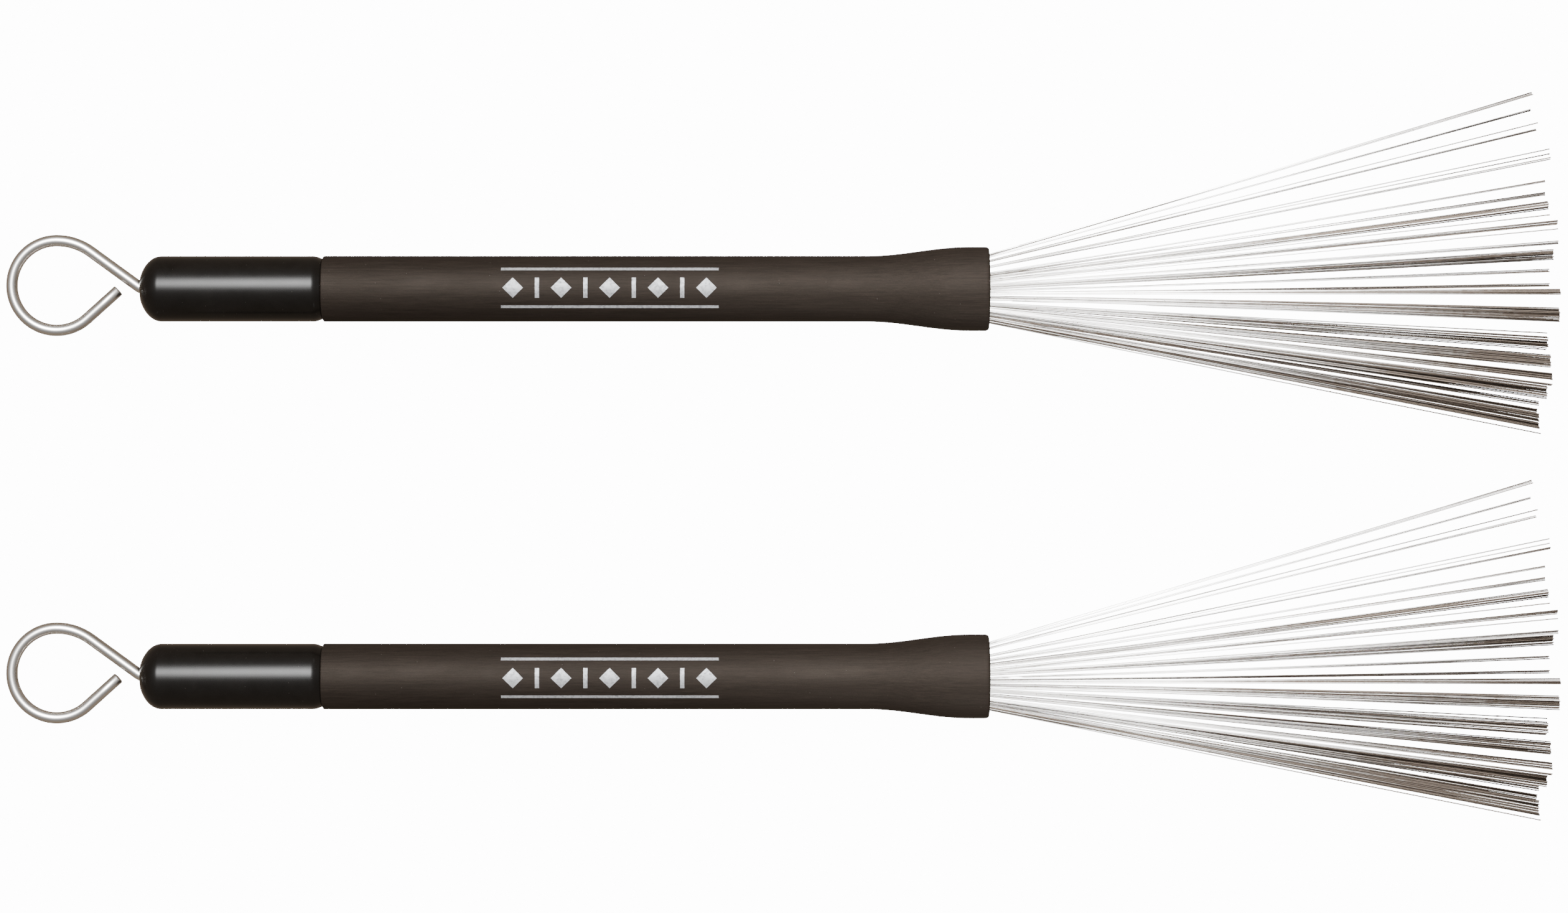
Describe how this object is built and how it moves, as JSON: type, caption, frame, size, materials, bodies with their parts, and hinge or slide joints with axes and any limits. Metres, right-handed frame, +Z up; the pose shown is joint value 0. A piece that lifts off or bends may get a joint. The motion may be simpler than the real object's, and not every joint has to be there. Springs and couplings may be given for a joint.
{
  "type": "wire drum brushes",
  "caption": "Retractable wire drum brushes: flared rubber grips with glossy butt caps and looped steel pull rods that draw fans of fine wires into the handles.",
  "frame": {"origin": "middle of the pair's resting surface, under its bounding box", "axes": "+X along the brushes towards the wire tips, +Y across the pair towards the left brush, +Z up from the surface; the fans lie in the XY plane"},
  "size_m": [0.3366, 0.1556, 0.0181],
  "materials": {
    "grip_rubber": "matte, fine lengthwise grain",
    "cap_plastic": "glossy, near black",
    "tube_aluminium": "drawn",
    "nylon": "natural nylon",
    "ring_rubber": "soft",
    "rod_steel": "bright drawn wire",
    "ferrule_steel": "crimped",
    "wire_steel": "bright spring wire"
  },
  "bodies": {
    "left_handle": {"left_grip_sleeve": "grip_rubber", "left_handle_tube": "tube_aluminium", "left_butt_cap": "cap_plastic", "left_rear_bush": "nylon", "left_friction_ring": "ring_rubber"},
    "left_guide": {"left_slide_guide": "nylon"},
    "left_rod": {"left_pull_rod": "rod_steel", "left_ferrule": "ferrule_steel", "left_rod_clip": "ferrule_steel"},
    "left_wire_lock_01": {"left_wire_lock_01": "wire_steel"},
    "left_wire_lock_02": {"left_wire_lock_02": "wire_steel"},
    "left_wire_lock_03": {"left_wire_lock_03": "wire_steel"},
    "left_wire_lock_04": {"left_wire_lock_04": "wire_steel"},
    "left_wire_lock_05": {"left_wire_lock_05": "wire_steel"},
    "left_wire_lock_06": {"left_wire_lock_06": "wire_steel"},
    "left_wire_lock_07": {"left_wire_lock_07": "wire_steel"},
    "left_wire_lock_08": {"left_wire_lock_08": "wire_steel"},
    "left_wire_lock_09": {"left_wire_lock_09": "wire_steel"},
    "left_wire_lock_10": {"left_wire_lock_10": "wire_steel"},
    "left_wire_lock_11": {"left_wire_lock_11": "wire_steel"},
    "left_wire_lock_12": {"left_wire_lock_12": "wire_steel"},
    "left_wire_lock_13": {"left_wire_lock_13": "wire_steel"},
    "left_wire_lock_14": {"left_wire_lock_14": "wire_steel"},
    "left_wire_lock_15": {"left_wire_lock_15": "wire_steel"},
    "left_wire_lock_16": {"left_wire_lock_16": "wire_steel"},
    "right_handle": {"right_grip_sleeve": "grip_rubber", "right_handle_tube": "tube_aluminium", "right_butt_cap": "cap_plastic", "right_rear_bush": "nylon", "right_friction_ring": "ring_rubber"},
    "right_guide": {"right_slide_guide": "nylon"},
    "right_rod": {"right_pull_rod": "rod_steel", "right_ferrule": "ferrule_steel", "right_rod_clip": "ferrule_steel"},
    "right_wire_lock_01": {"right_wire_lock_01": "wire_steel"},
    "right_wire_lock_02": {"right_wire_lock_02": "wire_steel"},
    "right_wire_lock_03": {"right_wire_lock_03": "wire_steel"},
    "right_wire_lock_04": {"right_wire_lock_04": "wire_steel"},
    "right_wire_lock_05": {"right_wire_lock_05": "wire_steel"},
    "right_wire_lock_06": {"right_wire_lock_06": "wire_steel"},
    "right_wire_lock_07": {"right_wire_lock_07": "wire_steel"},
    "right_wire_lock_08": {"right_wire_lock_08": "wire_steel"},
    "right_wire_lock_09": {"right_wire_lock_09": "wire_steel"},
    "right_wire_lock_10": {"right_wire_lock_10": "wire_steel"},
    "right_wire_lock_11": {"right_wire_lock_11": "wire_steel"},
    "right_wire_lock_12": {"right_wire_lock_12": "wire_steel"},
    "right_wire_lock_13": {"right_wire_lock_13": "wire_steel"},
    "right_wire_lock_14": {"right_wire_lock_14": "wire_steel"},
    "right_wire_lock_15": {"right_wire_lock_15": "wire_steel"},
    "right_wire_lock_16": {"right_wire_lock_16": "wire_steel"}
  },
  "joints": [
    {"name": "left_rod_slide", "type": "slide", "parent": "left_handle", "child": "left_guide", "axis": [-1, 0, 0], "range_m": [0, 0.125], "deforming": ["left_wire_lock_01", "left_wire_lock_02", "left_wire_lock_03", "left_wire_lock_04", "left_wire_lock_05", "left_wire_lock_06", "left_wire_lock_07", "left_wire_lock_08", "left_wire_lock_09", "left_wire_lock_10", "left_wire_lock_11", "left_wire_lock_12", "left_wire_lock_13", "left_wire_lock_14", "left_wire_lock_15", "left_wire_lock_16"]},
    {"name": "left_rod_turn", "type": "hinge", "parent": "left_guide", "child": "left_rod", "pos_m": [0.04426, 0.03624, 0.00907], "axis": [1, 0, 0], "continuous": true},
    {"name": "left_wire_lock_01_fold", "type": "hinge", "parent": "left_rod", "child": "left_wire_lock_01", "pos_m": [0.01856, 0.03849, 0.00982], "axis": [0, 0.0234, -0.9997], "range_deg": [0, 14.97]},
    {"name": "left_wire_lock_02_fold", "type": "hinge", "parent": "left_rod", "child": "left_wire_lock_02", "pos_m": [0.01856, 0.03849, 0.00832], "axis": [0, -0.0272, -0.9996], "range_deg": [0, 12.84]},
    {"name": "left_wire_lock_03_fold", "type": "hinge", "parent": "left_rod", "child": "left_wire_lock_03", "pos_m": [0.01856, 0.03849, 0.01132], "axis": [0, 0.1015, -0.9948], "range_deg": [0, 10.28]},
    {"name": "left_wire_lock_04_fold", "type": "hinge", "parent": "left_rod", "child": "left_wire_lock_04", "pos_m": [0.01856, 0.03849, 0.00682], "axis": [0, -0.1334, -0.9911], "range_deg": [0, 7.79]},
    {"name": "left_wire_lock_05_fold", "type": "hinge", "parent": "left_rod", "child": "left_wire_lock_05", "pos_m": [0.01856, 0.03699, 0.00982], "axis": [0, 0.0527, -0.9986], "range_deg": [0, 6.6]},
    {"name": "left_wire_lock_06_fold", "type": "hinge", "parent": "left_rod", "child": "left_wire_lock_06", "pos_m": [0.01856, 0.03699, 0.01132], "axis": [0, 0.2295, -0.9733], "range_deg": [0, 4.54]},
    {"name": "left_wire_lock_07_fold", "type": "hinge", "parent": "left_rod", "child": "left_wire_lock_07", "pos_m": [0.01856, 0.03699, 0.00682], "axis": [0, -0.3621, -0.9321], "range_deg": [0, 2.86]},
    {"name": "left_wire_lock_08_fold", "type": "hinge", "parent": "left_rod", "child": "left_wire_lock_08", "pos_m": [0.01856, 0.03699, 0.00832], "axis": [0, -0.4788, -0.8779], "range_deg": [0, 0.73]},
    {"name": "left_wire_lock_09_fold", "type": "hinge", "parent": "left_rod", "child": "left_wire_lock_09", "pos_m": [0.01856, 0.03549, 0.01132], "axis": [0, 0.9998, 0.0186], "range_deg": [0, 1.04]},
    {"name": "left_wire_lock_10_fold", "type": "hinge", "parent": "left_rod", "child": "left_wire_lock_10", "pos_m": [0.01856, 0.03549, 0.00982], "axis": [0, 0.19, 0.9818], "range_deg": [0, 1.82]},
    {"name": "left_wire_lock_11_fold", "type": "hinge", "parent": "left_rod", "child": "left_wire_lock_11", "pos_m": [0.01856, 0.03549, 0.00682], "axis": [0, -0.2501, 0.9682], "range_deg": [0, 4.16]},
    {"name": "left_wire_lock_12_fold", "type": "hinge", "parent": "left_rod", "child": "left_wire_lock_12", "pos_m": [0.01856, 0.03549, 0.00832], "axis": [0, -0.0605, 0.9982], "range_deg": [0, 5.75]},
    {"name": "left_wire_lock_13_fold", "type": "hinge", "parent": "left_rod", "child": "left_wire_lock_13", "pos_m": [0.01856, 0.03399, 0.01132], "axis": [0, 0.1555, 0.9878], "range_deg": [0, 6.73]},
    {"name": "left_wire_lock_14_fold", "type": "hinge", "parent": "left_rod", "child": "left_wire_lock_14", "pos_m": [0.01856, 0.03399, 0.00982], "axis": [0, 0.0446, 0.999], "range_deg": [0, 7.82]},
    {"name": "left_wire_lock_15_fold", "type": "hinge", "parent": "left_rod", "child": "left_wire_lock_15", "pos_m": [0.01856, 0.03399, 0.00682], "axis": [0, -0.1149, 0.9934], "range_deg": [0, 9.14]},
    {"name": "left_wire_lock_16_fold", "type": "hinge", "parent": "left_rod", "child": "left_wire_lock_16", "pos_m": [0.01856, 0.03399, 0.00832], "axis": [0, -0.0336, 0.9994], "range_deg": [0, 10.41]},
    {"name": "right_rod_slide", "type": "slide", "parent": "right_handle", "child": "right_guide", "axis": [-1, 0, 0], "range_m": [0, 0.125], "deforming": ["right_wire_lock_01", "right_wire_lock_02", "right_wire_lock_03", "right_wire_lock_04", "right_wire_lock_05", "right_wire_lock_06", "right_wire_lock_07", "right_wire_lock_08", "right_wire_lock_09", "right_wire_lock_10", "right_wire_lock_11", "right_wire_lock_12", "right_wire_lock_13", "right_wire_lock_14", "right_wire_lock_15", "right_wire_lock_16"]},
    {"name": "right_rod_turn", "type": "hinge", "parent": "right_guide", "child": "right_rod", "pos_m": [0.04426, -0.04756, 0.00907], "axis": [1, 0, 0], "continuous": true},
    {"name": "right_wire_lock_01_fold", "type": "hinge", "parent": "right_rod", "child": "right_wire_lock_01", "pos_m": [0.01856, -0.04531, 0.00982], "axis": [0, 0.0234, -0.9997], "range_deg": [0, 14.97]},
    {"name": "right_wire_lock_02_fold", "type": "hinge", "parent": "right_rod", "child": "right_wire_lock_02", "pos_m": [0.01856, -0.04531, 0.00832], "axis": [0, -0.0272, -0.9996], "range_deg": [0, 12.84]},
    {"name": "right_wire_lock_03_fold", "type": "hinge", "parent": "right_rod", "child": "right_wire_lock_03", "pos_m": [0.01856, -0.04531, 0.01132], "axis": [0, 0.1015, -0.9948], "range_deg": [0, 10.28]},
    {"name": "right_wire_lock_04_fold", "type": "hinge", "parent": "right_rod", "child": "right_wire_lock_04", "pos_m": [0.01856, -0.04531, 0.00682], "axis": [0, -0.1334, -0.9911], "range_deg": [0, 7.79]},
    {"name": "right_wire_lock_05_fold", "type": "hinge", "parent": "right_rod", "child": "right_wire_lock_05", "pos_m": [0.01856, -0.04681, 0.00982], "axis": [0, 0.0527, -0.9986], "range_deg": [0, 6.6]},
    {"name": "right_wire_lock_06_fold", "type": "hinge", "parent": "right_rod", "child": "right_wire_lock_06", "pos_m": [0.01856, -0.04681, 0.01132], "axis": [0, 0.2295, -0.9733], "range_deg": [0, 4.54]},
    {"name": "right_wire_lock_07_fold", "type": "hinge", "parent": "right_rod", "child": "right_wire_lock_07", "pos_m": [0.01856, -0.04681, 0.00682], "axis": [0, -0.3621, -0.9321], "range_deg": [0, 2.86]},
    {"name": "right_wire_lock_08_fold", "type": "hinge", "parent": "right_rod", "child": "right_wire_lock_08", "pos_m": [0.01856, -0.04681, 0.00832], "axis": [0, -0.4788, -0.8779], "range_deg": [0, 0.73]},
    {"name": "right_wire_lock_09_fold", "type": "hinge", "parent": "right_rod", "child": "right_wire_lock_09", "pos_m": [0.01856, -0.04831, 0.01132], "axis": [0, 0.9998, 0.0186], "range_deg": [0, 1.04]},
    {"name": "right_wire_lock_10_fold", "type": "hinge", "parent": "right_rod", "child": "right_wire_lock_10", "pos_m": [0.01856, -0.04831, 0.00982], "axis": [0, 0.19, 0.9818], "range_deg": [0, 1.82]},
    {"name": "right_wire_lock_11_fold", "type": "hinge", "parent": "right_rod", "child": "right_wire_lock_11", "pos_m": [0.01856, -0.04831, 0.00682], "axis": [0, -0.2501, 0.9682], "range_deg": [0, 4.16]},
    {"name": "right_wire_lock_12_fold", "type": "hinge", "parent": "right_rod", "child": "right_wire_lock_12", "pos_m": [0.01856, -0.04831, 0.00832], "axis": [0, -0.0605, 0.9982], "range_deg": [0, 5.75]},
    {"name": "right_wire_lock_13_fold", "type": "hinge", "parent": "right_rod", "child": "right_wire_lock_13", "pos_m": [0.01856, -0.04981, 0.01132], "axis": [0, 0.1555, 0.9878], "range_deg": [0, 6.73]},
    {"name": "right_wire_lock_14_fold", "type": "hinge", "parent": "right_rod", "child": "right_wire_lock_14", "pos_m": [0.01856, -0.04981, 0.00982], "axis": [0, 0.0446, 0.999], "range_deg": [0, 7.82]},
    {"name": "right_wire_lock_15_fold", "type": "hinge", "parent": "right_rod", "child": "right_wire_lock_15", "pos_m": [0.01856, -0.04981, 0.00682], "axis": [0, -0.1149, 0.9934], "range_deg": [0, 9.14]},
    {"name": "right_wire_lock_16_fold", "type": "hinge", "parent": "right_rod", "child": "right_wire_lock_16", "pos_m": [0.01856, -0.04981, 0.00832], "axis": [0, -0.0336, 0.9994], "range_deg": [0, 10.41]},
    {"name": "right_brush_lift", "type": "slide", "parent": "left_handle", "child": "right_handle", "axis": [0, 0, 1], "range_m": [0, 0.15]}
  ],
  "couplings": [
    {"joint": "left_wire_lock_01_fold", "follows": "left_rod_slide", "rad_per_m": 2.0893},
    {"joint": "left_wire_lock_02_fold", "follows": "left_rod_slide", "rad_per_m": 1.7922},
    {"joint": "left_wire_lock_03_fold", "follows": "left_rod_slide", "rad_per_m": 1.4343},
    {"joint": "left_wire_lock_04_fold", "follows": "left_rod_slide", "rad_per_m": 1.0875},
    {"joint": "left_wire_lock_05_fold", "follows": "left_rod_slide", "rad_per_m": 0.9206},
    {"joint": "left_wire_lock_06_fold", "follows": "left_rod_slide", "rad_per_m": 0.6332},
    {"joint": "left_wire_lock_07_fold", "follows": "left_rod_slide", "rad_per_m": 0.3989},
    {"joint": "left_wire_lock_08_fold", "follows": "left_rod_slide", "rad_per_m": 0.1014},
    {"joint": "left_wire_lock_09_fold", "follows": "left_rod_slide", "rad_per_m": 0.1442},
    {"joint": "left_wire_lock_10_fold", "follows": "left_rod_slide", "rad_per_m": 0.254},
    {"joint": "left_wire_lock_11_fold", "follows": "left_rod_slide", "rad_per_m": 0.5804},
    {"joint": "left_wire_lock_12_fold", "follows": "left_rod_slide", "rad_per_m": 0.8025},
    {"joint": "left_wire_lock_13_fold", "follows": "left_rod_slide", "rad_per_m": 0.9392},
    {"joint": "left_wire_lock_14_fold", "follows": "left_rod_slide", "rad_per_m": 1.0908},
    {"joint": "left_wire_lock_15_fold", "follows": "left_rod_slide", "rad_per_m": 1.2761},
    {"joint": "left_wire_lock_16_fold", "follows": "left_rod_slide", "rad_per_m": 1.4524},
    {"joint": "right_wire_lock_01_fold", "follows": "right_rod_slide", "rad_per_m": 2.0893},
    {"joint": "right_wire_lock_02_fold", "follows": "right_rod_slide", "rad_per_m": 1.7922},
    {"joint": "right_wire_lock_03_fold", "follows": "right_rod_slide", "rad_per_m": 1.4343},
    {"joint": "right_wire_lock_04_fold", "follows": "right_rod_slide", "rad_per_m": 1.0875},
    {"joint": "right_wire_lock_05_fold", "follows": "right_rod_slide", "rad_per_m": 0.9206},
    {"joint": "right_wire_lock_06_fold", "follows": "right_rod_slide", "rad_per_m": 0.6332},
    {"joint": "right_wire_lock_07_fold", "follows": "right_rod_slide", "rad_per_m": 0.3989},
    {"joint": "right_wire_lock_08_fold", "follows": "right_rod_slide", "rad_per_m": 0.1014},
    {"joint": "right_wire_lock_09_fold", "follows": "right_rod_slide", "rad_per_m": 0.1442},
    {"joint": "right_wire_lock_10_fold", "follows": "right_rod_slide", "rad_per_m": 0.254},
    {"joint": "right_wire_lock_11_fold", "follows": "right_rod_slide", "rad_per_m": 0.5804},
    {"joint": "right_wire_lock_12_fold", "follows": "right_rod_slide", "rad_per_m": 0.8025},
    {"joint": "right_wire_lock_13_fold", "follows": "right_rod_slide", "rad_per_m": 0.9392},
    {"joint": "right_wire_lock_14_fold", "follows": "right_rod_slide", "rad_per_m": 1.0908},
    {"joint": "right_wire_lock_15_fold", "follows": "right_rod_slide", "rad_per_m": 1.2761},
    {"joint": "right_wire_lock_16_fold", "follows": "right_rod_slide", "rad_per_m": 1.4524}
  ]
}
